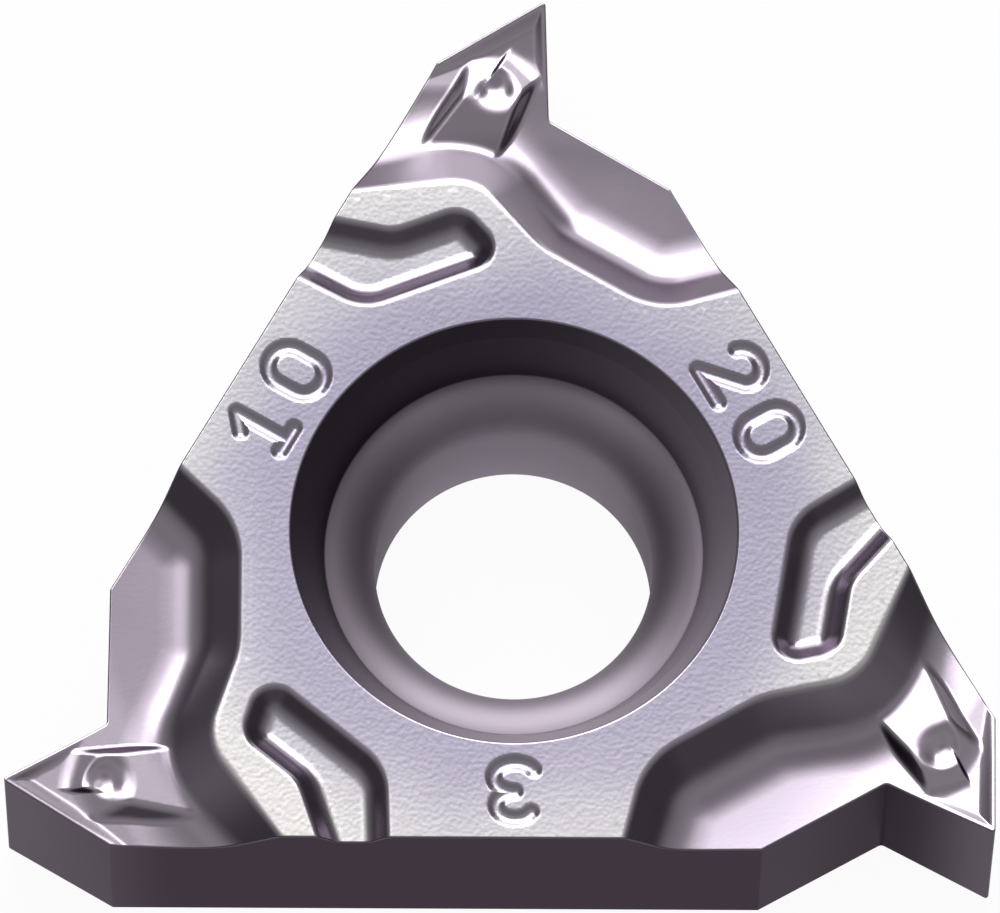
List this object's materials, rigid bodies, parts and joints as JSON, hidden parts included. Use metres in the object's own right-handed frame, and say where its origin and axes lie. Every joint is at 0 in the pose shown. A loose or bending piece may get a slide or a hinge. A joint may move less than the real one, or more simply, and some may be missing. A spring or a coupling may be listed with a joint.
{
  "type": "threading insert",
  "caption": "Three-cornered laydown carbide insert with a screw hole, pointed cutting tips, chip grooves and a flat seat face, for turning external threads.",
  "frame": {"origin": "on the screw hole's axis, in the flat seat face", "axes": "+Z along the hole axis, from the seat face to the chip face; +Y towards one cutting corner"},
  "size_m": [0.0146, 0.0132, 0.0034],
  "materials": {
    "coated_carbide": "satin vapour-deposited coating over sintered carbide, lilac grey, with a fine pressed grain"
  },
  "bodies": {
    "root": {"threading_insert": "coated_carbide"}
  },
  "joints": []
}
